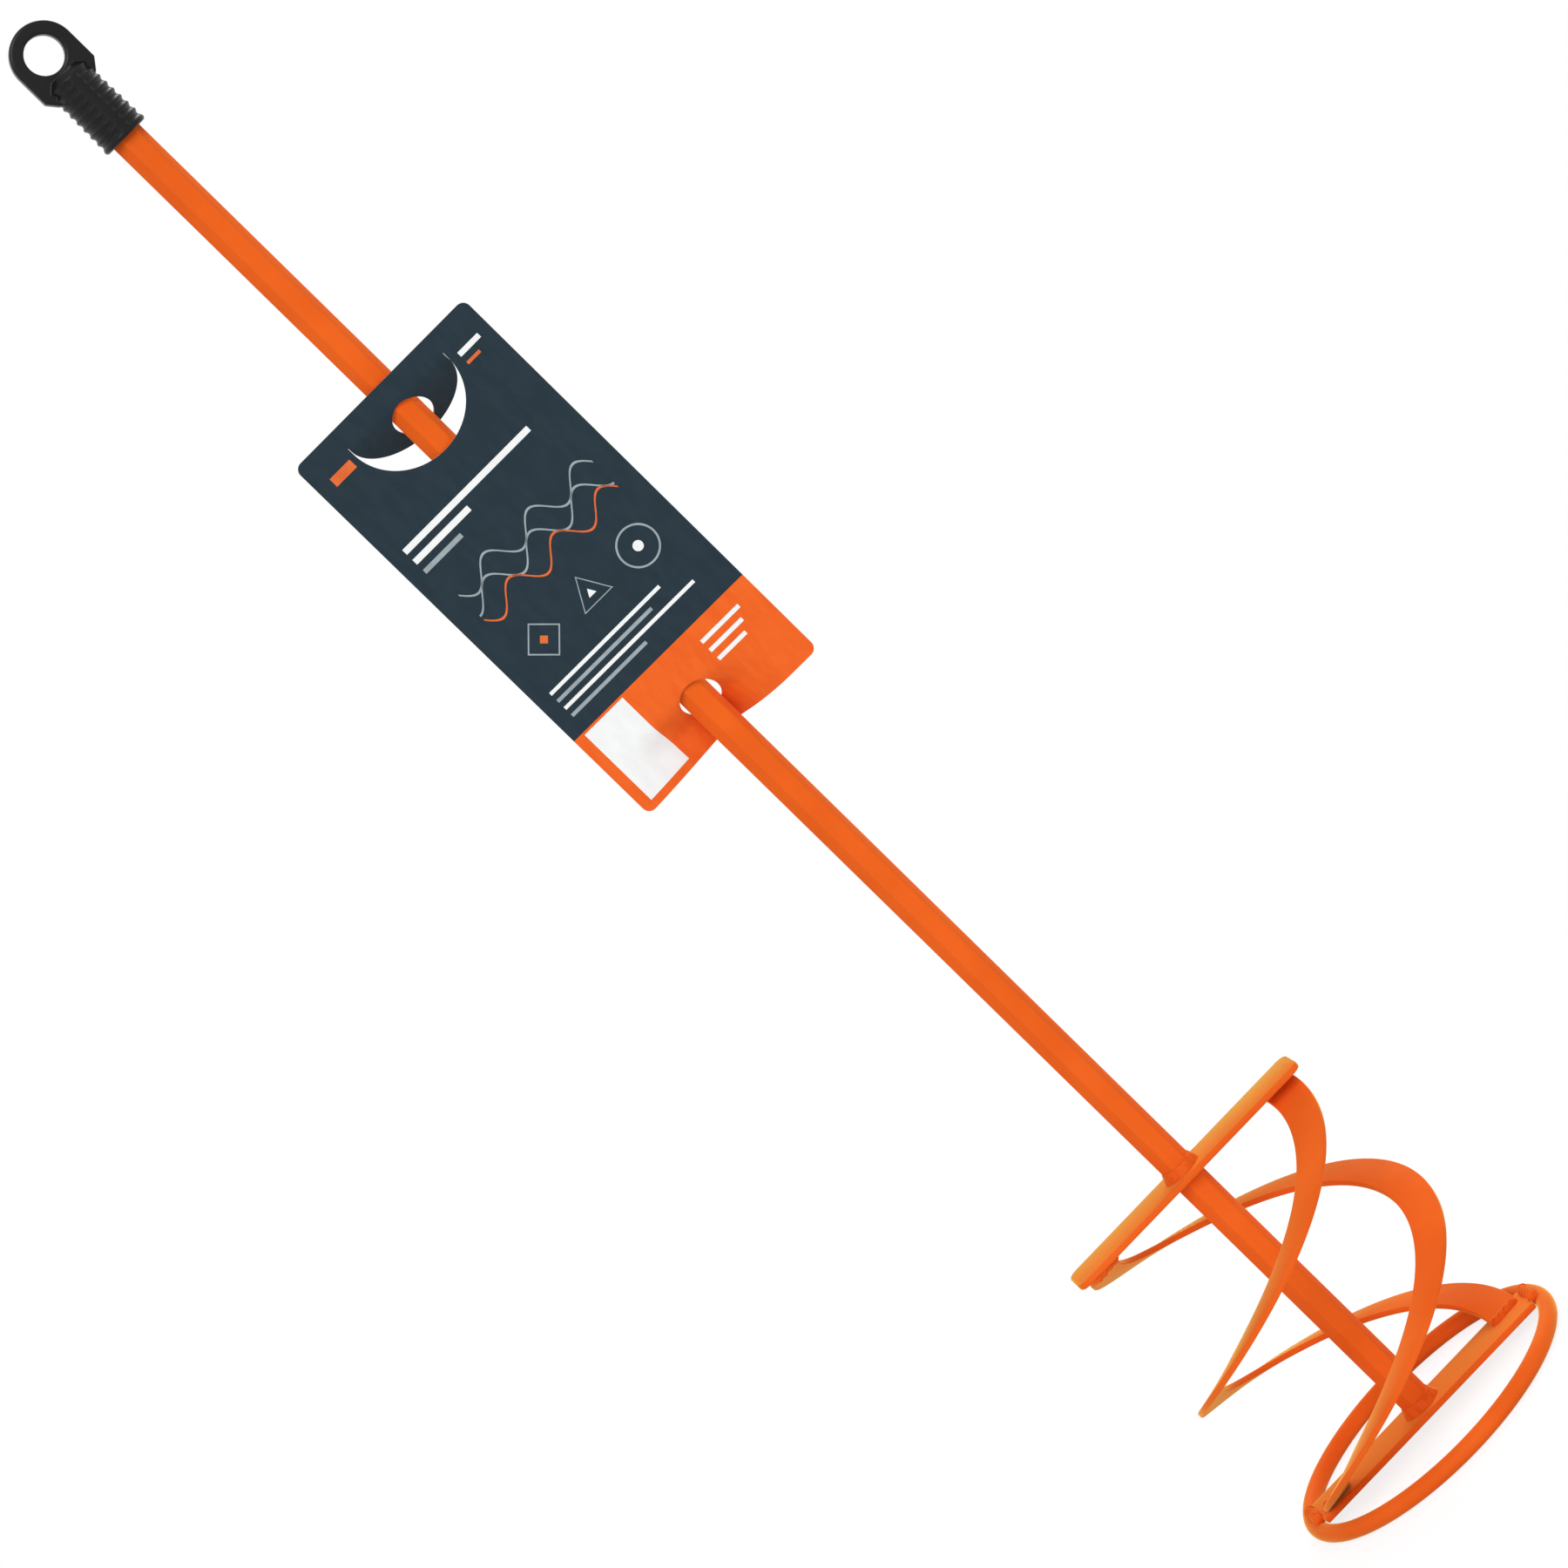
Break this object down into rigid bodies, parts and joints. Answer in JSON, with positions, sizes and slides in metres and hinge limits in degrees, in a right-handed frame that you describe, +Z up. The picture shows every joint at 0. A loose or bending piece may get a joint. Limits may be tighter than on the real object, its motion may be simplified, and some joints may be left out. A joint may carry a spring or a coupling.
{
  "type": "mortar mixing paddle",
  "caption": "Helical mixing paddle: hexagonal shaft, flat crossbars, winding ribbon blades and a bottom guard ring, with a hanging cap and a threaded display card.",
  "frame": {"origin": "centre of the bottom ring, on the plane that the ring stands on", "axes": "+Z up along the shaft towards the shank, X along the crossbars, -Y towards the printed side of the card"},
  "size_m": [0.1, 0.1, 0.5736],
  "materials": {
    "orange_paint": "semi-gloss orange paint on steel",
    "painted_weld": "orange paint over a rippled weld bead",
    "black_cap": "matte black moulded, flexible",
    "printed_card": "smooth printed card, slate and orange"
  },
  "bodies": {
    "mixer": {"shaft": "orange_paint", "upper_crossbar": "orange_paint", "lower_crossbar": "orange_paint", "front_blade": "orange_paint", "rear_blade": "orange_paint", "bottom_ring": "orange_paint", "upper_hub_weld": "painted_weld", "lower_hub_weld": "painted_weld", "front_blade_top_weld": "painted_weld", "front_blade_foot_weld": "painted_weld", "rear_blade_top_weld": "painted_weld", "rear_blade_foot_weld": "painted_weld", "right_ring_weld": "painted_weld", "left_ring_weld": "painted_weld", "ring_seam_weld": "painted_weld"},
    "cap": {"hanging_cap": "black_cap"},
    "card": {"display_card": "printed_card"}
  },
  "joints": [
    {"name": "cap_pull", "type": "slide", "parent": "mixer", "child": "cap", "axis": [0, 0, 1], "range_m": [0, 0.045]},
    {"name": "card_slide", "type": "slide", "parent": "mixer", "child": "card", "axis": [0, 0, 1], "range_m": [-0.18, 0.095]}
  ]
}
